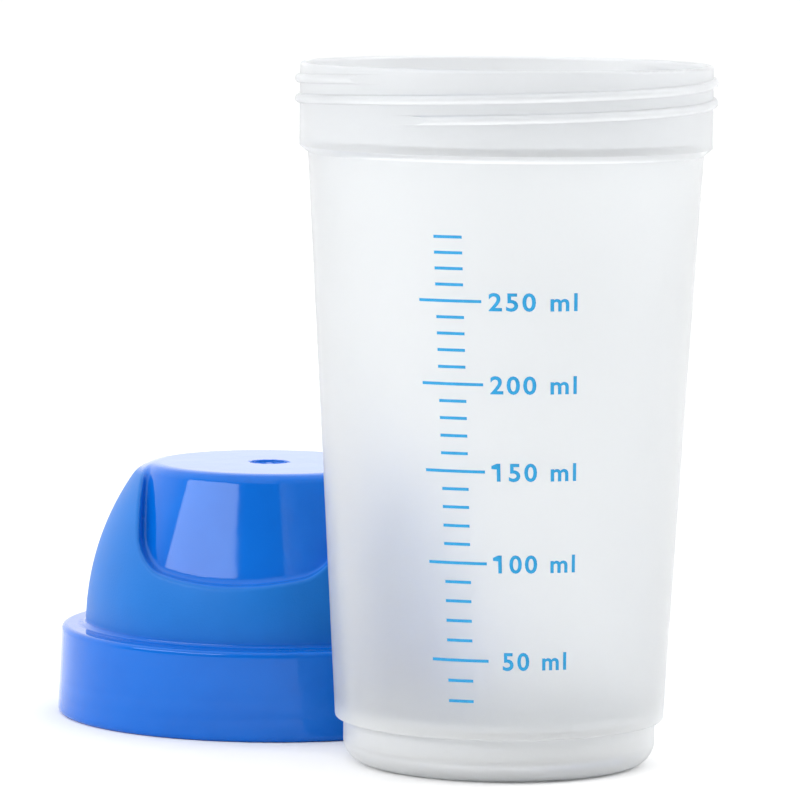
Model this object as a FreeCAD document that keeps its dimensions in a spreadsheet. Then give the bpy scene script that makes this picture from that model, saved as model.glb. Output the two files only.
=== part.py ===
import FreeCAD, Part
import math
import os

import Sketcher

# A protein shaker: a tapered frosted cup with a screw neck, and its domed screw lid standing open
# side down beside it, with a seal ring and a mixing sieve inside the lid.
# Millimetres. +Z is up, and the origin is the centre of the cup's base on the table.

SIZES = (
    ("cup_height", 128.0, "base to rim"),
    ("cup_wall", 1.4, "wall of the cup"),
    ("foot_radius", 28.6, "outside of the foot"),
    ("foot_height", 8.2, "base to the step above the foot"),
    ("foot_round", 4.0, "rounding between the foot and the base"),
    ("base_hollow_radius", 21.0, "hollow under the base"),
    ("base_hollow_depth", 0.8, "height of that hollow"),
    ("floor_thickness", 2.5, "floor of the cup above the hollow"),
    ("body_low_radius", 30.15, "outside of the body just above the foot"),
    ("body_top_radius", 36.0, "outside of the body just under the collar"),
    ("neck_radius", 37.6, "outside of the neck"),
    ("neck_height", 15.1, "rim to the collar's lower edge"),
    ("collar_slope", 1.3, "height of the slope under the collar"),
    ("rim_round", 0.6, "rounding of the rim and of the step"),
    ("thread_bead", 0.87, "radius of the round thread bead"),
    ("thread_lead", 7.28, "rise in one turn, on a two-start thread"),
    ("thread_depth", 9.23, "rim to the centre of the bead where it starts"),
    ("thread_angle", 55.0, "direction in which the bead starts, from +X"),
    ("lid_x", -44.0, "axis of the lid from the axis of the cup"),
    ("lid_y", 56.4, "axis of the lid from the axis of the cup"),
    ("lid_turned", -12.0, "how far the lid is turned about its axis"),
    ("lid_wall", 1.5, "wall of the lid"),
    ("skirt_low_radius", 40.5, "outside of the skirt at its lower edge"),
    ("skirt_top_radius", 39.8, "outside of the skirt at the shoulder"),
    ("skirt_round", 0.9, "rounding of the skirt's two outer edges"),
    ("shoulder_height", 17.0, "lower edge of the skirt to the shoulder"),
    ("skirt_bore", 38.9, "inside of the skirt"),
    ("dome_radius", 35.2, "outside of the dome at the shoulder"),
    ("crown_radius", 24.4, "corner of the dome and the flat crown"),
    ("lid_height", 48.5, "lower edge of the skirt to the flat crown"),
    ("crown_round", 2.6, "rounding between the dome and the crown"),
    ("dimple_radius", 3.55, "dimple in the middle of the crown"),
    ("dimple_depth", 0.6, "depth of the dimple"),
    ("nub_radius", 0.9, "nub in the middle of the dimple"),
    ("nub_height", 0.35, "height of that nub"),
    ("dome_foot_round", 0.5, "rounding between the dome and the shoulder"),
    ("recess_top_half", 22.0, "half the width of the recess in the dome, at the crown"),
    ("recess_low_half", 18.5, "half its width between its lower corners"),
    ("recess_height", 28.5, "lower edge of the skirt to the recess's lowest point"),
    ("recess_sag", 2.7, "how far its lower edge sags between its corners"),
    ("recess_corner", 4.5, "rounding of its lower corners"),
    ("recess_low_radius", 31.5, "face of the recess at its lower edge"),
    ("recess_top_radius", 23.4, "face of the recess at the crown"),
    ("recess_run", 10.0, "how far its cone is carried on past both ends"),
    ("lip_radius", 35.9, "outside of the plug lip that enters the cup"),
    ("lip_bore", 34.7, "inside of the plug lip"),
    ("lip_depth", 4.8, "depth of the plug lip"),
    ("lid_thread_height", 2.2, "lower edge of the skirt to where its thread starts"),
    ("seal_thickness", 1.6, "thickness of the seal ring"),
    ("clearance", 0.2, "gap around the pieces held in the lid"),
    ("sieve_wall", 1.2, "collar of the mixing sieve"),
    ("sieve_height", 5.6, "height of that collar"),
    ("sieve_plate", 1.4, "thickness of the slotted plate"),
    ("slot_length", 4.3, "radial length of a slot in the plate"),
    ("slot_rib", 1.7, "rib between two slots"),
    ("hub_radius", 4.5, "hub in the middle of the plate"),
    ("hub_height", 3.2, "height of the hub"),
)
STARTS = 2
SLOT_RINGS = (8, 14, 20, 26)

doc = FreeCAD.newDocument("shaker")
sheet = doc.addObject("Spreadsheet::Sheet", "Sizes")
for row, (alias, value, meaning) in enumerate(SIZES, start=1):
    sheet.set(f"A{row}", meaning)
    sheet.set(f"B{row}", str(value))
    sheet.setAlias(f"B{row}", alias)
doc.recompute()

# Heights and radii that follow from the sheet, as expressions
STEP = "Sizes.foot_height"
COLLAR = "(Sizes.cup_height - Sizes.neck_height)"
FLOOR = "(Sizes.base_hollow_depth + Sizes.floor_thickness)"
NECK_BORE = "(Sizes.neck_radius - Sizes.cup_wall)"
SHOULDER_UNDERSIDE = "(Sizes.shoulder_height - Sizes.lid_wall)"
SIEVE_RADIUS = "(Sizes.lip_bore - Sizes.clearance)"
SIEVE_TOP = f"({SHOULDER_UNDERSIDE} - Sizes.clearance)"
SIEVE_BOTTOM = f"({SIEVE_TOP} - Sizes.sieve_height)"


def body(name):
    return doc.addObject("PartDesign::Body", name)


def origin_part(owner, role):
    return next(part for part in owner.Origin.OriginFeatures if part.Role == role)


def sketch_on(owner, name, plane, turn=None, lift=None):
    """A sketch on one of the body's own planes, turned about +Z and lifted along it by expressions."""
    sketch = owner.newObject("Sketcher::SketchObject", name)
    sketch.AttachmentSupport = (origin_part(owner, plane), [""])
    sketch.MapMode = "FlatFace"
    upright = plane == "XZ_Plane"
    if turn:
        axis = FreeCAD.Vector(0, 1, 0) if upright else FreeCAD.Vector(0, 0, 1)
        sketch.AttachmentOffset = FreeCAD.Placement(FreeCAD.Vector(), FreeCAD.Rotation(axis, 1))
        sketch.setExpression("AttachmentOffset.Rotation.Angle", turn)
    if lift:
        sketch.setExpression("AttachmentOffset.Base." + ("y" if upright else "z"), lift)
    return sketch


def pin(sketch, geometry, spot, across, along):
    """Binds one point of a sketch's geometry to two expressions, measured from the sketch's origin."""
    for kind, expression, axis in (("DistanceX", across, -2), ("DistanceY", along, -1)):
        if expression == "0":
            sketch.addConstraint(Sketcher.Constraint("PointOnObject", geometry, spot, axis))
        else:
            number = sketch.addConstraint(Sketcher.Constraint(kind, -1, 1, geometry, spot, 1.0))
            sketch.setExpression(f"Constraints[{number}]", expression)


def outline(sketch, corners, arcs=None):
    """A closed outline through corners, each a pair of expressions. arcs gives, for a corner's place in
    the list, the expression for the height of the centre of the arc that leaves that corner."""
    arcs = arcs or {}
    for place, (across, along) in enumerate(corners):
        point = sketch.addGeometry(Part.Point(FreeCAD.Vector(place + 1, place + 1, 0)), True)
        pin(sketch, point, 1, across, along)
    doc.recompute()
    spots = [FreeCAD.Vector(point.X, point.Y, 0) for point in sketch.Geometry]
    for place, a in enumerate(spots):
        after = (place + 1) % len(spots)
        b = spots[after]
        if place not in arcs:
            edge = sketch.addGeometry(Part.LineSegment(a, b), False)
            ends = (1, 2)
        else:
            height = float(sketch.evalExpression(arcs[place]))
            across = (a.x**2 + a.y**2 - b.x**2 - b.y**2 - 2 * height * (a.y - b.y)) / (2 * (a.x - b.x))
            centre = FreeCAD.Vector(across, height, 0)
            angles = [math.atan2(end.y - centre.y, end.x - centre.x) for end in (a, b)]
            ends = (1, 2) if angles[0] < angles[1] else (2, 1)
            circle = Part.Circle(centre, FreeCAD.Vector(0, 0, 1), (a - centre).Length)
            edge = sketch.addGeometry(Part.ArcOfCircle(circle, min(angles), max(angles)), False)
        for end, corner in zip(ends, (place, after)):
            sketch.addConstraint(Sketcher.Constraint("Coincident", edge, end, corner, 1))
        if place in arcs:
            number = sketch.addConstraint(Sketcher.Constraint("DistanceY", -1, 1, edge, 3, height))
            sketch.setExpression(f"Constraints[{number}]", arcs[place])
    doc.recompute()


def revolved(owner, name, corners, arcs=None):
    """A full turn of an outline of (radius, height) corners about the body's +Z axis."""
    sketch = sketch_on(owner, name + "_outline", "XZ_Plane")
    outline(sketch, corners, arcs)
    feature = owner.newObject("PartDesign::Revolution", name)
    feature.Profile = sketch
    feature.ReferenceAxis = (sketch, ["V_Axis"])
    feature.Angle = 360
    doc.recompute()
    return feature


def rings(feature, places):
    """The names of the circular edges of a feature at these (radius, height) places."""
    found = []
    for number, edge in enumerate(feature.Shape.Edges, start=1):
        if not isinstance(edge.Curve, Part.Circle):
            continue
        for radius, height in places:
            if abs(edge.Curve.Radius - radius) < 0.01 and abs(edge.Curve.Center.z - height) < 0.01:
                found.append(f"Edge{number}")
    return found


def rounded(owner, name, base, edges, radius):
    feature = owner.newObject("PartDesign::Fillet", name)
    feature.Base = (base, edges)
    feature.setExpression("Radius", radius)
    doc.recompute()
    return feature


def thread(owner, kind, name, radius, height, angle):
    """One full right-hand turn of a round bead about +Z, added to or cut from the body."""
    sketch = sketch_on(owner, name + "_section", "XZ_Plane", turn=angle)
    circle = Part.Circle(FreeCAD.Vector(1, 1, 0), FreeCAD.Vector(0, 0, 1), 1)
    bead = sketch.addGeometry(circle, False)
    pin(sketch, bead, 3, radius, height)
    number = sketch.addConstraint(Sketcher.Constraint("Radius", bead, 1.0))
    sketch.setExpression(f"Constraints[{number}]", "Sizes.thread_bead")
    doc.recompute()
    feature = owner.newObject(kind, name)
    feature.Profile = sketch
    feature.ReferenceAxis = (origin_part(owner, "Z_Axis"), [""])
    feature.Mode = "pitch-height-angle"
    feature.setExpression("Pitch", "Sizes.thread_lead")
    feature.setExpression("Height", "Sizes.thread_lead")
    doc.recompute()
    return feature


def around(owner, name, features, count):
    """The same features again, evenly spaced around the body's +Z axis."""
    pattern = owner.newObject("PartDesign::PolarPattern", name)
    pattern.Originals = features
    pattern.Axis = (origin_part(owner, "Z_Axis"), [""])
    pattern.Angle = 360
    pattern.Occurrences = count
    owner.Tip = pattern
    doc.recompute()
    return pattern


def size(alias):
    return float(sheet.get(alias))


# The cup: one revolved wall with a foot, a tapered body and a wider neck, and a two-start thread
def make_cup():
    cup = body("cup")
    low, top = "Sizes.body_low_radius", "Sizes.body_top_radius"
    wall = "Sizes.cup_wall"
    shell = revolved(
        cup,
        "cup_wall_turned",
        [
            ("0", "Sizes.base_hollow_depth"),
            ("Sizes.base_hollow_radius", "Sizes.base_hollow_depth"),
            ("Sizes.base_hollow_radius + Sizes.base_hollow_depth", "0"),
            ("Sizes.foot_radius", "0"),
            ("Sizes.foot_radius", STEP),
            (low, STEP),
            (top, f"{COLLAR} - Sizes.collar_slope"),
            ("Sizes.neck_radius", COLLAR),
            ("Sizes.neck_radius", "Sizes.cup_height"),
            (NECK_BORE, "Sizes.cup_height"),
            (NECK_BORE, f"{COLLAR} + {wall}"),
            (f"{top} - {wall}", COLLAR),
            (f"{low} - {wall}", f"{STEP} + {wall}"),
            (f"Sizes.foot_radius - {wall}", STEP),
            (f"Sizes.foot_radius - {wall}", FLOOR),
            ("0", FLOOR),
        ],
    )
    neck_radius = size("neck_radius")
    rim = [(radius, size("cup_height")) for radius in (neck_radius, neck_radius - size("cup_wall"))]
    shell = rounded(cup, "rim_rounded", shell, rings(shell, rim), "Sizes.rim_round")
    foot = [(size("foot_radius"), 0)]
    shell = rounded(cup, "foot_rounded", shell, rings(shell, foot), "Sizes.foot_round")
    floor = size("base_hollow_depth") + size("floor_thickness")
    inside = rings(shell, [(size("foot_radius") - size("cup_wall"), floor)])
    shell = rounded(cup, "floor_rounded", shell, inside, "Sizes.foot_round - Sizes.cup_wall")
    step = [(size("body_low_radius"), size("foot_height"))]
    rounded(cup, "step_rounded", shell, rings(shell, step), "Sizes.rim_round / 2")
    kind, radius = "PartDesign::AdditiveHelix", "Sizes.neck_radius"
    start = "Sizes.cup_height - Sizes.thread_depth"
    bead = thread(cup, kind, "neck_thread", radius, start, "Sizes.thread_angle")
    cuts = []
    for name, height in (("low", start), ("high", start + " + Sizes.thread_lead")):
        cuts.append(thread_runout(cup, f"thread_{name}_end", height))
    around(cup, "thread_starts", [bead] + cuts, STARTS)
    return cup


def thread_runout(owner, name, height):
    """Shaves the end of the bead down to the neck on a flat that touches the neck where the bead ends."""
    reach = "2 * Sizes.thread_bead"
    sketch = sketch_on(owner, name + "_flat", "XY_Plane", "Sizes.thread_angle", f"{height} + {reach}")
    inner, outer = "Sizes.neck_radius", f"Sizes.neck_radius + {reach}"
    half = "Sizes.foot_radius / 2"
    outline(sketch, [(inner, f"-{half}"), (outer, f"-{half}"), (outer, half), (inner, half)])
    cut = owner.newObject("PartDesign::Pocket", name)
    cut.Profile = sketch
    cut.setExpression("Length", f"2 * {reach}")
    doc.recompute()
    return cut


# The lid: a turned skirt and dome with a flat crown, less a turned hollow. A U-shaped recess is sunk in
# the front and the back of the dome, and the hollow steps in behind it, so the wall stays even.
def recess(name, margin):
    """What the recess takes away: a U-shaped block along Y, outside the cone that is the recess's face.
    The U widens towards the crown, and its lower edge sags. margin is an expression for how far all of
    it is grown towards the lid's inside."""
    block = body(name + "_block")
    sketch = sketch_on(block, name + "_section", "XZ_Plane")
    low = f"Sizes.recess_height + Sizes.recess_sag - {margin}"
    top = "Sizes.lid_height + Sizes.recess_run / 2"
    draft = "(Sizes.recess_top_half - Sizes.recess_low_half) / (Sizes.lid_height - Sizes.recess_height)"
    low_half = f"Sizes.recess_low_half + {margin}"
    top_half = f"{low_half} + {draft} * ({top} - ({low}))"
    sag_centre = f"{low} - Sizes.recess_sag / 2 + ({low_half})^2 / (2 * Sizes.recess_sag)"
    corners = [(f"-({low_half})", low), (low_half, low), (top_half, top), (f"-({top_half})", top)]
    outline(sketch, corners, {0: sag_centre})
    pad = block.newObject("PartDesign::Pad", name + "_pad")
    pad.Profile = sketch
    pad.SideType = "Symmetric"
    pad.setExpression("Length", "4 * Sizes.skirt_low_radius")
    doc.recompute()
    corner = sketch.Geometry[0].Y
    edges = []
    for number, edge in enumerate(pad.Shape.Edges, start=1):
        ends = [vertex.Point for vertex in edge.Vertexes]
        if all(abs(end.z - corner) < 0.01 for end in ends) and abs(ends[0].x - ends[1].x) < 0.01:
            edges.append(f"Edge{number}")
    rounded(block, name + "_corners", pad, edges, f"Sizes.recess_corner + {margin}")
    slope = "(Sizes.recess_low_radius - Sizes.recess_top_radius) / (Sizes.lid_height - Sizes.recess_height)"
    cone = doc.addObject("Part::Cone", name + "_face")
    cone.setExpression("Radius1", f"Sizes.recess_low_radius + {slope} * Sizes.recess_run - {margin}")
    cone.setExpression("Radius2", f"Sizes.recess_top_radius - {slope} * Sizes.recess_run - {margin}")
    cone.setExpression("Height", "Sizes.lid_height - Sizes.recess_height + 2 * Sizes.recess_run")
    cone.setExpression("Placement.Base.z", "Sizes.recess_height - Sizes.recess_run")
    cut = doc.addObject("Part::Cut", name)
    cut.Base, cut.Tool = block, cone
    doc.recompute()
    return cut


def make_lid():
    blank = body("lid_blank")
    top, crown = "Sizes.lid_height", "Sizes.crown_radius"
    shoulder = "Sizes.shoulder_height"
    dimple = f"{top} - Sizes.dimple_depth"
    turned = revolved(
        blank,
        "lid_outside",
        [
            ("0", "0"),
            ("Sizes.skirt_low_radius", "0"),
            ("Sizes.skirt_top_radius", shoulder),
            ("Sizes.dome_radius", shoulder),
            (crown, top),
            ("Sizes.dimple_radius", top),
            ("Sizes.dimple_radius", dimple),
            ("Sizes.nub_radius", dimple),
            ("Sizes.nub_radius", f"{dimple} + Sizes.nub_height"),
            ("0", f"{dimple} + Sizes.nub_height"),
        ],
        {3: shoulder},
    )
    crown_corner = rings(turned, [(size("crown_radius"), size("lid_height"))])
    turned = rounded(blank, "crown_rounded", turned, crown_corner, "Sizes.crown_round")
    dome_foot = rings(turned, [(size("dome_radius"), size("shoulder_height"))])
    turned = rounded(blank, "dome_foot_rounded", turned, dome_foot, "Sizes.dome_foot_round")
    edges = [(size("skirt_top_radius"), size("shoulder_height")), (size("skirt_low_radius"), 0)]
    rounded(blank, "skirt_rounded", turned, rings(turned, edges), "Sizes.skirt_round")

    hollow = body("lid_hollow")
    lip, bore, wall = "Sizes.lip_radius", "Sizes.lip_bore", "Sizes.lid_wall"
    lip_end = f"{SHOULDER_UNDERSIDE} - Sizes.lip_depth"
    revolved(
        hollow,
        "lid_inside",
        [
            ("0", "0"),
            ("Sizes.skirt_bore", "0"),
            ("Sizes.skirt_bore", SHOULDER_UNDERSIDE),
            (lip, SHOULDER_UNDERSIDE),
            (lip, lip_end),
            (bore, lip_end),
            (bore, SHOULDER_UNDERSIDE),
            (f"Sizes.dome_radius - {wall}", shoulder),
            (f"{crown} - {wall} / 2", f"{top} - {wall}"),
            ("0", f"{top} - {wall}"),
        ],
        {7: shoulder},
    )
    start = "Sizes.lid_thread_height"
    groove = thread(hollow, "PartDesign::SubtractiveHelix", "lid_thread", "Sizes.skirt_bore", start, "0")
    around(hollow, "lid_thread_starts", [groove], STARTS)

    outside = doc.addObject("Part::Cut", "lid_outside_recessed")
    outside.Base, outside.Tool = blank, recess("recess", "0")
    inside = doc.addObject("Part::Cut", "lid_inside_stepped")
    inside.Base, inside.Tool = hollow, recess("recess_inside", wall)
    lid = doc.addObject("Part::Cut", "lid")
    lid.Base, lid.Tool = outside, inside
    doc.recompute()
    return lid


# The seal ring lies in the channel between the plug lip and the skirt, where the cup's rim meets it
def make_seal():
    seal = body("lid_seal")
    inner = "Sizes.lip_radius + Sizes.clearance"
    outer = "Sizes.skirt_bore - Sizes.clearance"
    high = f"{SHOULDER_UNDERSIDE} - Sizes.clearance"
    low = f"{high} - Sizes.seal_thickness"
    ring = revolved(seal, "seal_ring", [(inner, low), (outer, low), (outer, high), (inner, high)])
    edges = [f"Edge{number}" for number, edge in enumerate(ring.Shape.Edges, start=1) if edge.isClosed()]
    rounded(seal, "seal_rounded", ring, edges, "Sizes.seal_thickness / 4")
    return seal


# The mixing sieve is a short collar with a slotted plate and a hub, pushed up inside the plug lip
def make_sieve():
    sieve = body("mixing_sieve")
    bore = f"{SIEVE_RADIUS} - Sizes.sieve_wall"
    plate = f"{SIEVE_BOTTOM} + Sizes.sieve_plate"
    revolved(
        sieve,
        "sieve_turned",
        [
            ("0", SIEVE_BOTTOM),
            (SIEVE_RADIUS, SIEVE_BOTTOM),
            (SIEVE_RADIUS, SIEVE_TOP),
            (bore, SIEVE_TOP),
            (bore, plate),
            ("Sizes.hub_radius", plate),
            ("Sizes.hub_radius - Sizes.rim_round", f"{SIEVE_BOTTOM} + Sizes.hub_height"),
            ("0", f"{SIEVE_BOTTOM} + Sizes.hub_height"),
        ],
    )
    for ring, count in enumerate(SLOT_RINGS):
        inner = f"(Sizes.hub_radius + Sizes.slot_rib + {ring} * (Sizes.slot_length + Sizes.slot_rib))"
        outer = f"{inner} + Sizes.slot_length"
        half = f"{inner} * tan(180 deg / {count}) - Sizes.slot_rib / 2"
        sketch = sketch_on(sieve, f"slot_{ring + 1}_section", "XY_Plane", lift=SIEVE_TOP)
        outline(sketch, [(inner, f"-({half})"), (outer, f"-({half})"), (outer, half), (inner, half)])
        slot = sieve.newObject("PartDesign::Pocket", f"slot_{ring + 1}")
        slot.Profile = sketch
        slot.setExpression("Length", "Sizes.sieve_height + Sizes.clearance")
        doc.recompute()
        around(sieve, f"slots_{ring + 1}", [slot], count)
    return sieve


def stand_beside_cup(piece):
    """Puts a piece that was made about the lid's own axis where the lid stands."""
    piece.Placement = FreeCAD.Placement(FreeCAD.Vector(), FreeCAD.Rotation(FreeCAD.Vector(0, 0, 1), 1))
    piece.setExpression("Placement.Base.x", "Sizes.lid_x")
    piece.setExpression("Placement.Base.y", "Sizes.lid_y")
    piece.setExpression("Placement.Rotation.Angle", "Sizes.lid_turned")


cup, lid, seal, sieve = make_cup(), make_lid(), make_seal(), make_sieve()
for piece in (lid, seal, sieve):
    stand_beside_cup(piece)
doc.recompute()

subparts = {"cup": cup, "lid": lid, "lid_seal": seal, "mixing_sieve": sieve}
for thing in doc.Objects:
    if "Invalid" in thing.State or "Error" in thing.State:
        raise RuntimeError(f"{thing.Name} failed: {thing.State}")
for label, piece in subparts.items():
    if piece.Shape.isNull() or not piece.Shape.isValid() or len(piece.Shape.Solids) != 1:
        raise RuntimeError(f"{label} is not one valid solid")
    piece.Label = label

os.makedirs("parts", exist_ok=True)
for label, piece in subparts.items():
    piece.Shape.exportStep(f"parts/{label}.step")
    print(label, round(piece.Shape.Volume), "mm3", piece.Shape.BoundBox)
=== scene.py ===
import itertools
import math

import bmesh
import bpy
import numpy as np
from mathutils import Matrix, Vector


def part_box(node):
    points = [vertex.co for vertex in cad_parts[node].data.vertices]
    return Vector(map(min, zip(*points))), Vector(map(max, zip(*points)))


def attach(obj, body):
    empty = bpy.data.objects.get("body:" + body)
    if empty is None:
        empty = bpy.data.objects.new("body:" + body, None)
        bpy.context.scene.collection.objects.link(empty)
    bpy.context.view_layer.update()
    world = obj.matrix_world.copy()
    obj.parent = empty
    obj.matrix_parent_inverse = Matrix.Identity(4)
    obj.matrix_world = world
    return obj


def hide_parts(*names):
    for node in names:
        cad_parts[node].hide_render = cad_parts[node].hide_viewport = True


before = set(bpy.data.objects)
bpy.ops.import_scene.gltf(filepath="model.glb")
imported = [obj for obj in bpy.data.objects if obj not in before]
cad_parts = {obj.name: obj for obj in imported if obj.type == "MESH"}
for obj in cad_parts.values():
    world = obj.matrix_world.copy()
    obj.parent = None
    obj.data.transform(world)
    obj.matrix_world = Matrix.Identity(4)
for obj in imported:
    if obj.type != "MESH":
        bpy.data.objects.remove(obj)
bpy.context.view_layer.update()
MM = 0.001
scene = bpy.context.scene
scene.view_settings.view_transform = "Standard"


def place_of_lid():
    """The point on the table under the middle of the lid."""
    low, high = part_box("lid")
    return Vector(((low[0] + high[0]) / 2, (low[1] + high[1]) / 2, 0))


LID_AXIS = place_of_lid()


# ---------------------------------------------------------------- camera, floor and light
LENS, SENSOR = 249.0, 36.0
CAMERA_PLACE = (-18.8 * MM, -1007 * MM, 165.0 * MM)
CAMERA_DOWN, CAMERA_ROLL = math.radians(5.60), math.radians(0.60)
LIGHTS_AIM = Vector((-0.03, 0.03, 0.05))
FLOOR_HALF, FLOOR_WHITE = 30.0, (0.95, 0.95, 0.95)
# The world's strength in front and elsewhere, and where along each axis of direction it changes over.
DIM_FRONT, WHITE_WALLS = 0.2, 1.38
TO_THE_BACK, TO_THE_CEILING = ("Y", -0.25, 0.25), ("Z", 0.62, 0.85)


def make_camera():
    """A long lens a metre away, a little above the rim and rolled by about half a degree."""
    data = bpy.data.cameras.new("camera")
    data.sensor_width = SENSOR
    data.lens = LENS
    data.clip_start, data.clip_end = 0.05, 2 * FLOOR_HALF
    camera = bpy.data.objects.new("camera", data)
    camera.location = CAMERA_PLACE
    view = Vector((0, math.cos(CAMERA_DOWN), -math.sin(CAMERA_DOWN)))
    turn = view.to_track_quat("-Z", "Y").to_matrix().to_4x4()
    camera.rotation_euler = (turn @ Matrix.Rotation(CAMERA_ROLL, 4, "Z")).to_euler()
    scene.collection.objects.link(camera)
    scene.camera = camera


def softbox(name, azimuth, elevation, distance, size, radiance):
    """A rectangular light aimed at the object. azimuth 0 is in front of it, and 90 on its right."""
    data = bpy.data.lights.new(name, "AREA")
    data.shape = "RECTANGLE"
    data.size, data.size_y = size
    data.energy = radiance * math.pi * size[0] * size[1]
    lamp = bpy.data.objects.new(name, data)
    side, up = math.radians(azimuth), math.radians(elevation)
    away = Vector((math.sin(side) * math.cos(up), -math.cos(side) * math.cos(up), math.sin(up)))
    lamp.location = LIGHTS_AIM + away * distance
    lamp.rotation_euler = (-away).to_track_quat("-Z", "Y").to_euler()
    scene.collection.objects.link(lamp)


def rectangle(half_wide, half_high):
    return [(x * half_wide, y * half_high, 0) for x, y in ((-1, -1), (1, -1), (1, 1), (-1, 1))]


def make_floor():
    mesh = bpy.data.meshes.new("floor")
    corners = rectangle(FLOOR_HALF, FLOOR_HALF)
    mesh.from_pydata(corners, [], [range(len(corners))])
    floor = bpy.data.objects.new("floor", mesh)
    scene.collection.objects.link(floor)
    paint = Shader("floor_white", color=FLOOR_WHITE, roughness=0.9)
    mesh.materials.append(paint.material)


def make_world():
    """A white studio whose front wall is dim, so that glossy faces keep their colour."""
    world = bpy.data.worlds.new("studio")
    world.use_nodes = True
    tree = world.node_tree
    background = tree.nodes["Background"]
    place = tree.nodes.new("ShaderNodeTexCoord")
    split = tree.nodes.new("ShaderNodeSeparateXYZ")
    tree.links.new(place.outputs["Generated"], split.inputs[0])
    parts = []
    for axis, low, high in (TO_THE_BACK, TO_THE_CEILING):
        ramp = tree.nodes.new("ShaderNodeMapRange")
        ramp.interpolation_type = "SMOOTHSTEP"
        ramp.inputs["From Min"].default_value = low
        ramp.inputs["From Max"].default_value = high
        tree.links.new(split.outputs[axis], ramp.inputs["Value"])
        parts.append(ramp.outputs["Result"])
    lit = tree.nodes.new("ShaderNodeMath")
    lit.operation = "MAXIMUM"
    tree.links.new(parts[0], lit.inputs[0])
    tree.links.new(parts[1], lit.inputs[1])
    strength = tree.nodes.new("ShaderNodeMapRange")
    strength.inputs["To Min"].default_value = DIM_FRONT
    strength.inputs["To Max"].default_value = WHITE_WALLS
    tree.links.new(lit.outputs[0], strength.inputs["Value"])
    tree.links.new(strength.outputs["Result"], background.inputs["Strength"])
    background.inputs["Color"].default_value = (1, 1, 1, 1)
    scene.world = world


# ---------------------------------------------------------------- materials
FOOT_TOP, NECK_LOW = 8.2 * MM, 112.9 * MM
# The neck's darker, greyer colour is painted shade. The milkier foot is partly the real milkiness of
# thicker plastic and partly painted light that keeps it bright against the shade where it stands.
BODY_MILK, NECK_PAINTED_SHADE = (0.94, 0.955, 0.965), (0.87, 0.885, 0.90)
CLEAREST, MILKIEST = 0.8, 0.5
POLISHED_BLUES = (0.0008, 0.132, 0.60), (0.0012, 0.142, 0.63)
GRAINED_BLUES = (0.0015, 0.150, 0.545), (0.002, 0.160, 0.575)


class Shader:
    """A Principled material and short ways to add the nodes that give it its detail."""

    def __init__(self, name, color, roughness, **sockets):
        self.material = bpy.data.materials.new(name)
        self.material.use_nodes = True
        self.tree = self.material.node_tree
        self.surface = self.tree.nodes["Principled BSDF"]
        self.surface.inputs["Base Color"].default_value = (*color, 1)
        self.surface.inputs["Roughness"].default_value = roughness
        for socket, value in sockets.items():
            self.surface.inputs[socket.replace("_", " ")].default_value = value

    def node(self, kind, links=(), **settings):
        """A node with links into it, given as {input: output}, and settings for its sockets or itself."""
        made = self.tree.nodes.new("ShaderNode" + kind)
        for name, value in settings.items():
            if hasattr(made, name):
                setattr(made, name, value)
            else:
                made.inputs[name.replace("_", " ")].default_value = value
        for name, source in dict(links).items():
            self.tree.links.new(source, made.inputs[name])
        return made

    def feed(self, socket, source):
        self.tree.links.new(source, self.surface.inputs[socket])

    def place(self):
        """Where a point is on the object, in metres."""
        return self.node("TexCoord").outputs["Object"]

    def noise(self, size, detail=2.0, stretch=(1, 1, 1)):
        """Noise of about this size in metres, from 0 to 1."""
        spread = self.node("Mapping", {"Vector": self.place()}, Scale=stretch)
        made = self.node("TexNoise", {"Vector": spread.outputs[0]}, Scale=1 / size, Detail=detail)
        return made.outputs["Fac"]

    def ramp(self, source, low, high, to=(0.0, 1.0), smooth=False):
        made = self.node("MapRange", {"Value": source}, From_Min=low, From_Max=high)
        made.inputs["To Min"].default_value, made.inputs["To Max"].default_value = to
        made.interpolation_type = "SMOOTHSTEP" if smooth else "LINEAR"
        return made.outputs["Result"]

    def math(self, operation, *values):
        made = self.node("Math", operation=operation)
        for number, value in enumerate(values):
            if isinstance(value, (int, float)):
                made.inputs[number].default_value = value
            else:
                self.tree.links.new(value, made.inputs[number])
        return made.outputs[0]

    def mix(self, amount, first, second):
        """A colour that goes from first to second as amount goes from 0 to 1."""
        made = self.node("Mix", data_type="RGBA")
        self.tree.links.new(amount, made.inputs["Factor"])
        for name, value in (("A", first), ("B", second)):
            socket = next(s for s in made.inputs if s.name == name and s.type == "RGBA")
            if isinstance(value, tuple):
                socket.default_value = (*value, 1)
            else:
                self.tree.links.new(value, socket)
        return next(s for s in made.outputs if s.type == "RGBA")

    def bump(self, height, depth, below=None):
        """Height from 0 to 1 is raised by depth, in metres. below is another bump's output."""
        made = self.node("Bump", {"Height": height}, Strength=1.0, Distance=depth)
        if below:
            self.tree.links.new(below, made.inputs["Normal"])
        return made.outputs["Normal"]


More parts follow.
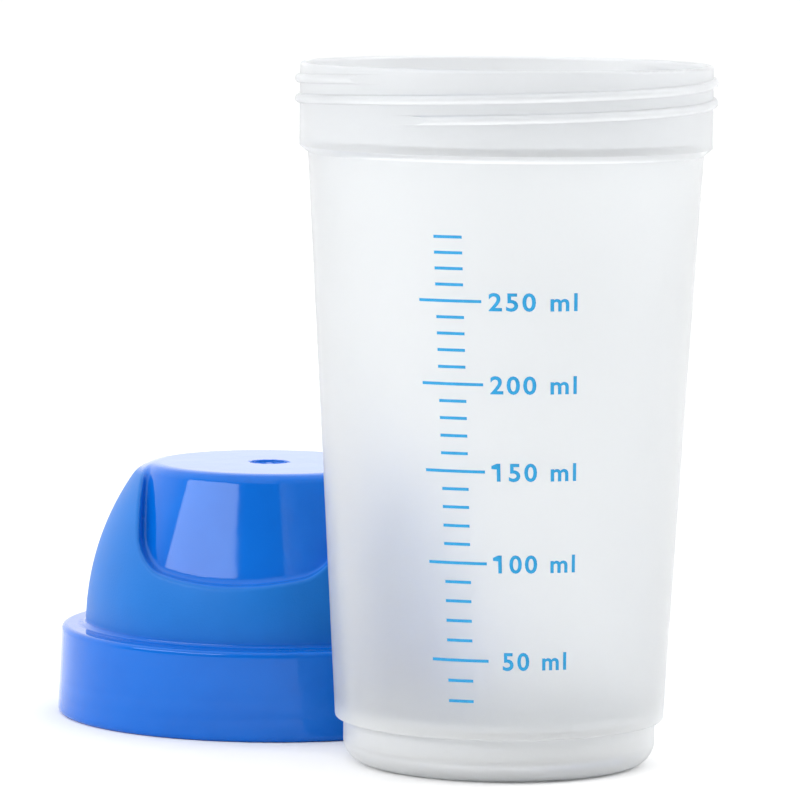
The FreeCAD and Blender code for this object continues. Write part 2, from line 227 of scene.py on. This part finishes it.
def frosted_plastic():
    """Natural polypropylene: it lets light through, but blurs what is behind it. It is milkier in the
    foot and the neck, where there is more of it. The milkier foot is also painted light, which keeps it
    bright against its shade on the floor, and the neck's darker, greyer colour is painted shade."""
    shader = Shader("frosted_polypropylene", BODY_MILK, 0.33, Transmission_Weight=CLEAREST, IOR=1.49)
    cloud = shader.noise(0.018, detail=3.0)
    shader.feed("Roughness", shader.ramp(cloud, 0.3, 0.7, to=(0.30, 0.36)))
    height = shader.node("SeparateXYZ", {0: shader.place()}).outputs["Z"]
    # The foot and the neck are milkier where the plastic is thicker. At the foot this is also painted
    # light, brightening it against its shade on the floor, and the neck's darker, greyer colour is
    # painted shade.
    foot = shader.ramp(height, FOOT_TOP, FOOT_TOP + 4 * MM, to=(1.0, 0.0), smooth=True)
    neck = shader.ramp(height, NECK_LOW - 2 * MM, NECK_LOW + 2 * MM, smooth=True)
    milky_and_painted_light = shader.math("MAXIMUM", foot, shader.math("MULTIPLY", neck, 0.4))
    shader.feed("Transmission Weight", shader.ramp(milky_and_painted_light, 0.0, 1.0, to=(CLEAREST, MILKIEST)))
    shader.feed("Base Color", shader.mix(neck, BODY_MILK, NECK_PAINTED_SHADE))
    fine = shader.noise(0.0006, detail=1.0)
    waves = shader.noise(0.012, detail=1.0, stretch=(1, 1, 0.35))
    shader.feed("Normal", shader.bump(fine, 0.000006, shader.bump(waves, 0.00005)))
    return shader.material


def blue_plastic():
    """Blue polypropylene: polished on the skirt, the crown and in the recesses, and with the fine matte
    grain of a spark-eroded mould on the dome, where the mesh says so."""
    shader = Shader("blue_polypropylene", POLISHED_BLUES[0], 0.1, IOR=1.36)
    matte = shader.node("Attribute", attribute_name="matte").outputs["Fac"]
    uneven = shader.noise(0.009, detail=2.0)
    polish = shader.ramp(uneven, 0.3, 0.7, to=(0.06, 0.09))
    shader.feed("Roughness", shader.math("ADD", polish, shader.ramp(matte, 0.0, 1.0, to=(0.0, 0.38))))
    grain = shader.math("MULTIPLY", shader.noise(0.00035, detail=2.0), matte)
    shader.feed("Normal", shader.bump(grain, 0.00003, shader.bump(uneven, 0.00004)))
    patches = shader.ramp(uneven, 0.35, 0.65)
    polished, grained = (shader.mix(patches, *blues) for blues in (POLISHED_BLUES, GRAINED_BLUES))
    shader.feed("Base Color", shader.mix(matte, polished, grained))
    return shader.material


def silicone():
    """Translucent white silicone with a dull, slightly dusty skin."""
    shader = Shader("silicone", (0.82, 0.83, 0.82), 0.5, Subsurface_Weight=0.3, Subsurface_Scale=0.002)
    dust = shader.noise(0.0008, detail=4.0)
    shader.feed("Roughness", shader.ramp(dust, 0.3, 0.7, to=(0.4, 0.62)))
    shader.feed("Normal", shader.bump(dust, 0.00002))
    return shader.material


def sieve_plastic():
    """Natural polypropylene, thicker than the cup and so whiter, with faint flow marks."""
    shader = Shader("natural_polypropylene", (0.86, 0.88, 0.89), 0.35, Transmission_Weight=0.25, IOR=1.49)
    flow = shader.noise(0.006, detail=3.0, stretch=(1, 1, 0.3))
    shader.feed("Roughness", shader.ramp(flow, 0.3, 0.7, to=(0.28, 0.42)))
    shader.feed("Normal", shader.bump(flow, 0.00004))
    shader.feed("Base Color", shader.mix(flow, (0.83, 0.86, 0.88), (0.89, 0.90, 0.91)))
    return shader.material


def ink():
    """Screen-printed ink, a little thin in places."""
    full, weak = (0.014, 0.32, 0.65), (0.03, 0.36, 0.69)
    shader = Shader("scale_ink", full, 0.45, IOR=1.36)
    thin = shader.noise(0.0009, detail=3.0)
    shader.feed("Base Color", shader.mix(shader.ramp(thin, 0.35, 0.7), full, weak))
    shader.feed("Roughness", shader.ramp(thin, 0.3, 0.7, to=(0.38, 0.55)))
    return shader.material


# ---------------------------------------------------------------- the lid
# This piece stands for the CAD lid, with the soft edges of moulded plastic round its two recesses. The
# plastic is a distance from its surface, negative inside it, in millimetres about the lid's own axis.
LID_TURNED = math.radians(-12.0)
LID_WALL, SHOULDER, LID_TOP = 1.5, 17.0, 48.5
SKIRT_LOW, SKIRT_TOP, SKIRT_BORE, SKIRT_ROUND = 40.5, 39.8, 38.9, 0.9
DOME_LOW, DOME_TOP, CROWN_ROUND, DOME_FOOT_ROUND = 35.2, 24.4, 2.6, 0.8
DIMPLE, DIMPLE_DEPTH, NUB, NUB_DEPTH = 3.55, 0.6, 0.9, 0.25
LIP, LIP_BORE, LIP_DEPTH = 35.9, 34.7, 4.8
RECESS_LOW, RECESS_SAG, RECESS_CORNER = 28.5, 2.7, 4.5
RECESS_LOW_HALF, RECESS_TOP_HALF = 18.5, 22.0
FACE_LOW, FACE_TOP = 31.5, 23.4
THREAD_BEAD, THREAD_LEAD, THREAD_START, THREAD_STARTS = 0.87, 7.28, 2.2, 2
SINK_DEPTH = 0.03
EDGE, TIGHT_EDGE = 1.0, 0.25
CELL, NUDGE, ROUNDS = 0.5, 0.01, 5


def both(first, second, soft):
    """Where two shapes overlap, with their common edge rounded to this radius."""
    reach = np.hypot(np.maximum(first + soft, 0), np.maximum(second + soft, 0))
    return np.minimum(np.maximum(first, second), -soft) + reach


def either(first, second, soft):
    """Where one shape or the other is, with the corner between them filled to this radius."""
    return -both(-first, -second, soft)


def without(first, second, soft):
    """The first shape less the second, with the edge that this leaves rounded to this radius."""
    return both(first, -second, soft)


def bulge(radius, z, low, top, top_height):
    """An arc turned about the axis. It leaves the shoulder upright at the low radius, and reaches the top
    radius at the top height."""
    rise = top_height - SHOULDER
    centre = (low**2 - top**2 - rise**2) / (2 * (low - top))
    return np.hypot(radius - centre, z - SHOULDER) - (low - centre)


def recess(x, radius, z, margin):
    """A U that widens towards the crown and sags at its foot, outside the cone that is its face."""
    height = LID_TOP - RECESS_LOW
    low, half = RECESS_LOW + RECESS_SAG - margin, RECESS_LOW_HALF + margin
    draft = math.atan((RECESS_TOP_HALF - RECESS_LOW_HALF) / height)
    sides = (abs(x) - half - (z - low) * math.tan(draft)) * math.cos(draft)
    sag_centre = low - RECESS_SAG / 2 + half**2 / (2 * RECESS_SAG)
    foot = np.hypot(x, z - sag_centre) - (sag_centre - low + RECESS_SAG)
    lean = math.atan((FACE_LOW - FACE_TOP) / height)
    face = (FACE_LOW - (z - RECESS_LOW) * math.tan(lean) - margin - radius) * math.cos(lean)
    return both(both(sides, foot, RECESS_CORNER + margin), face, EDGE)


def off_thread(turn, z):
    """How far above or below the nearest turn of the thread. turn is from 0 to 1 about the axis."""
    away = []
    for start in range(THREAD_STARTS):
        middle = THREAD_START + THREAD_LEAD * ((turn - start / THREAD_STARTS) % 1.0)
        away.append(abs(z - middle))
    return np.minimum(*away)


def lid_plastic(points):
    """How far these points are from the lid's surface."""
    x, y, z = points[..., 0], points[..., 1], points[..., 2]
    radius, turn = np.hypot(x, y), np.arctan2(y, x) / (2 * math.pi)
    off = off_thread(turn, z)
    sink = SINK_DEPTH * np.exp(-((off / THREAD_BEAD) ** 2))
    skirt = radius + sink - SKIRT_LOW + (SKIRT_LOW - SKIRT_TOP) * z / SHOULDER
    skirt = both(both(skirt, z - SHOULDER, SKIRT_ROUND), -z, SKIRT_ROUND)
    dome = both(bulge(radius, z, DOME_LOW, DOME_TOP, LID_TOP), z - LID_TOP, CROWN_ROUND)
    dimple = both(radius - DIMPLE, LID_TOP - DIMPLE_DEPTH - z, TIGHT_EDGE)
    nub = both(radius - NUB, z - LID_TOP + NUB_DEPTH, TIGHT_EDGE)
    dome = either(without(dome, dimple, TIGHT_EDGE), nub, TIGHT_EDGE)
    outside = either(skirt, without(dome, recess(x, radius, z, 0.0), EDGE), DOME_FOOT_ROUND)

    underside = SHOULDER - LID_WALL
    bore = both(radius - SKIRT_BORE, z - underside, TIGHT_EDGE)
    lip = both(both(radius - LIP, LIP_BORE - radius, TIGHT_EDGE), underside - LIP_DEPTH - z, TIGHT_EDGE)
    thread = np.hypot(radius - SKIRT_BORE, off) - THREAD_BEAD
    bore = without(without(bore, lip, TIGHT_EDGE), thread, TIGHT_EDGE)
    low = DOME_LOW - LID_WALL
    flare = radius - np.minimum(low + (SHOULDER - z) * (LIP_BORE - low) / LID_WALL, LIP_BORE)
    vault = bulge(radius, z, low, DOME_TOP - LID_WALL / 2, LID_TOP - LID_WALL)
    vault = both(np.where(z < SHOULDER, flare, vault), z - LID_TOP + LID_WALL, TIGHT_EDGE)
    vault = without(vault, recess(x, radius, z, LID_WALL), TIGHT_EDGE)
    vault = np.maximum(vault, underside - LID_WALL - z)
    return without(outside, either(bore, vault, TIGHT_EDGE), TIGHT_EDGE)


def slope_of(distance, points):
    """How fast the distance grows along x, y and z."""
    rises = [distance(points + step) - distance(points - step) for step in NUDGE * np.eye(3)]
    return np.stack(rises, -1) / (2 * NUDGE)


def net_over(distance, low, high):
    """A surface net: one point in each cell that the surface goes through, drawn onto the surface, and a
    face round each edge of the grid that the surface cuts."""
    spans = [np.arange(a - CELL, b + 2 * CELL, CELL) for a, b in zip(low, high)]
    grid = np.stack(np.meshgrid(*spans, indexing="ij"), -1)
    inside = distance(grid) < 0
    size = [count - 1 for count in inside.shape]
    filled = np.zeros(size, dtype=int)
    for i, j, k in itertools.product((0, 1), repeat=3):
        filled += inside[i : size[0] + i, j : size[1] + j, k : size[2] + k]
    crossed = (filled > 0) & (filled < 8)
    number = np.cumsum(crossed).reshape(crossed.shape) - 1
    points = grid[:-1, :-1, :-1][crossed] + CELL / 2
    faces = []
    for axis in range(3):
        cut = np.argwhere(inside != np.roll(inside, -1, axis))
        leaving = inside[tuple(cut.T)]
        across, up = np.roll(np.eye(3, dtype=int), -axis - 1, 0)[:2]
        ring = np.stack([number[tuple((cut - step).T)] for step in (0 * up, across, across + up, up)], 1)
        faces += [ring[leaving], ring[~leaving][:, ::-1]]
    for _ in range(ROUNDS):
        slope = slope_of(distance, points)
        move = distance(points)[:, None] * slope / np.maximum((slope**2).sum(1, keepdims=True), 0.2)
        points -= np.clip(move, -CELL / 2, CELL / 2)
    return points, np.concatenate(faces)


def matte_share(points):
    """How much of the dome's fine matte grain is at each point: none in the recesses or on the crown."""
    x, y, z = points.T
    dome = np.clip((z - SHOULDER - DOME_FOOT_ROUND / 2) / DOME_FOOT_ROUND, 0, 1)
    off_recess = np.clip(recess(x, np.hypot(x, y), z, 0.0) / (EDGE / 2), 0, 1)
    below_crown = np.clip((LID_TOP - CROWN_ROUND / 4 - z) / (CROWN_ROUND / 2), 0, 1)
    return dome * off_recess * below_crown


def make_lid():
    """The surface net of the lid, stood in its place, with its normals taken from the distance itself."""
    reach = SKIRT_LOW + CELL
    points, faces = net_over(lid_plastic, (-reach, -reach, 0), (reach, reach, LID_TOP))
    mesh = bpy.data.meshes.new("lid_moulded")
    mesh.from_pydata(points.tolist(), [], faces.tolist())
    turned = Matrix.Rotation(LID_TURNED, 3, "Z")
    mesh.transform(Matrix.Translation(LID_AXIS) @ turned.to_4x4() @ Matrix.Scale(MM, 4))
    mesh.shade_smooth()
    normals = slope_of(lid_plastic, points) @ np.array(turned).T
    normals /= np.linalg.norm(normals, axis=1, keepdims=True)
    mesh.normals_split_custom_set_from_vertices(normals.tolist())
    mesh.attributes.new("matte", "FLOAT", "POINT").data.foreach_set("value", matte_share(points))
    lid = bpy.data.objects.new("lid_moulded", mesh)
    scene.collection.objects.link(lid)
    mesh.materials.append(blue_plastic())
    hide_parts("lid")
    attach(lid, "lid")


# ---------------------------------------------------------------- the printed scale
# The print is made flat and wrapped around the tapered body. Across is in degrees from the front, and up
# is in metres. BODY_LOW, BODY_TOP and INSIDE_FLOOR are a radius and a height.
BODY_LOW, BODY_TOP = (30.15 * MM, FOOT_TOP), (36.0 * MM, 111.6 * MM)
INSIDE_FLOOR = (27.2 * MM, 3.3 * MM)
WALL = 1.4 * MM
INK_DEPTH = 0.05 * MM
SLANT = 3.0 / (64 * MM)
MARKED, READING_EVERY = range(30, 300, 10), 50
TICK_CENTRE, LONG_TICK, SHORT_TICK = -17.2, 19.0, 8.5
TICK_HEIGHT = 0.53 * MM
TEXT_CENTRE, TEXT_SPAN, TEXT_HEIGHT = 7.7, 26.6, 3.3 * MM
BOLDER, LETTER_SPACING = 0.021, 1.2
UPRIGHT_AT = 87 * MM
STRIP = 1.5
MILLILITRE = 1e-6


def body_radius(height):
    share = (height - BODY_LOW[1]) / (BODY_TOP[1] - BODY_LOW[1])
    return BODY_LOW[0] + share * (BODY_TOP[0] - BODY_LOW[0])


def filled_to(volume):
    """The height at which the cup holds this many millilitres."""
    foot_bore, height = INSIDE_FLOOR
    held, step = 0.0, 0.05 * MM
    while held < volume * MILLILITRE:
        radius = foot_bore if height < FOOT_TOP else body_radius(height) - WALL
        held += math.pi * radius**2 * step
        height += step
    return height


def sliced(mesh):
    """Cuts a flat mesh into upright strips, so that it can bend round the cup."""
    flat = bmesh.new()
    flat.from_mesh(mesh)
    across = [vert.co.x for vert in flat.verts]
    cut = math.ceil(min(across) / STRIP) * STRIP
    while cut < max(across):
        everything = flat.verts[:] + flat.edges[:] + flat.faces[:]
        bmesh.ops.bisect_plane(flat, geom=everything, plane_co=(cut, 0, 0), plane_no=(1, 0, 0))
        cut += STRIP
    flat.to_mesh(mesh)
    flat.free()


def wrap(mesh, centre, height):
    """Bends a flat mesh, x in degrees and y in metres, onto the cup at this height."""
    for vert in mesh.vertices:
        up = height + vert.co.y
        turn = math.radians(centre + vert.co.x + (UPRIGHT_AT - up) * SLANT)
        radius = body_radius(up) + vert.co.z
        vert.co = Vector((radius * math.sin(turn), -radius * math.cos(turn), up))


def flat_tick(degrees):
    mesh = bpy.data.meshes.new("tick")
    corners = rectangle(degrees / 2, TICK_HEIGHT / 2)
    mesh.from_pydata(corners, [], [range(len(corners))])
    return mesh


def add_flag(mesh):
    """Gives a leading 1 the short stroke at its top, which the built-in font leaves out. The stroke's
    reach, drop and weight are shares of the letter's height."""
    left = min(vert.co.x for vert in mesh.vertices)
    top = max(vert.co.y for vert in mesh.vertices if vert.co.x < left + 0.001)
    reach, drop, weight = top * 0.28, top * 0.14, top * 0.17
    flat = bmesh.new()
    flat.from_mesh(mesh)
    corners = [(0, 0), (-reach, -drop), (-reach, -drop - weight), (0, -2 * weight)]
    flat.faces.new([flat.verts.new((left + across, top + up, 0)) for across, up in corners])
    flat.to_mesh(mesh)
    flat.free()


def flat_text(words):
    """Flat lettering, in the font's own units."""
    curve = bpy.data.curves.new("reading", "FONT")
    curve.body = words
    curve.offset = BOLDER
    curve.space_character = LETTER_SPACING
    curve.resolution_u = 4
    letters = bpy.data.objects.new("reading", curve)
    scene.collection.objects.link(letters)
    depsgraph = bpy.context.evaluated_depsgraph_get()
    mesh = bpy.data.meshes.new_from_object(letters.evaluated_get(depsgraph))
    bpy.data.objects.remove(letters)
    if words.startswith("1"):
        add_flag(mesh)
    return mesh


def span(values):
    return max(values) - min(values)


def make_readings():
    """Each reading as a flat mesh, sized so that the widest has TEXT_SPAN and its digits TEXT_HEIGHT."""
    digits = [vert.co.y for vert in flat_text("250").vertices]
    wide = TEXT_SPAN / span([vert.co.x for vert in flat_text("250 ml").vertices])
    tall, middle_up = TEXT_HEIGHT / span(digits), max(vert.co.y for vert in flat_text("0").vertices) / 2
    readings = {}
    for volume in MARKED:
        if volume % READING_EVERY == 0:
            letters = flat_text(f"{volume} ml")
            across = [vert.co.x for vert in letters.vertices]
            middle = (min(across) + max(across)) / 2
            for vert in letters.vertices:
                vert.co = Vector(((vert.co.x - middle) * wide, (vert.co.y - middle_up) * tall, 0))
            readings[volume] = letters
    return readings


def make_scale():
    """The marks and the readings, each at the height at which the cup holds that much."""
    readings = make_readings()
    joined = bmesh.new()
    for volume in MARKED:
        height = filled_to(volume)
        flats = [(flat_tick(LONG_TICK if volume in readings else SHORT_TICK), TICK_CENTRE)]
        if volume in readings:
            flats.append((readings[volume], TEXT_CENTRE))
        for mesh, centre in flats:
            sliced(mesh)
            wrap(mesh, centre, height)
            joined.from_mesh(mesh)
    bmesh.ops.remove_doubles(joined, verts=joined.verts, dist=1e-6)
    bmesh.ops.recalc_face_normals(joined, faces=joined.faces)
    mesh = bpy.data.meshes.new("volume_scale")
    joined.to_mesh(mesh)
    joined.free()
    scale = bpy.data.objects.new("volume_scale", mesh)
    scene.collection.objects.link(scale)
    thick = scale.modifiers.new("ink", "SOLIDIFY")
    thick.thickness, thick.offset = INK_DEPTH, 0.0
    mesh.materials.append(ink())
    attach(scale, "cup")


make_camera()
make_floor()
make_world()
softbox("key", azimuth=-55, elevation=30, distance=1.2, size=(1.2, 0.36), radiance=6.0)
softbox("fill", azimuth=95, elevation=30, distance=1.3, size=(1.0, 0.8), radiance=3.0)

finishes = {
    "cup": frosted_plastic(),
    "lid_seal": silicone(),
    "mixing_sieve": sieve_plastic(),
}
for name, finish in finishes.items():
    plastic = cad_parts[name].data.materials
    plastic.clear()
    plastic.append(finish)
make_lid()
make_scale()
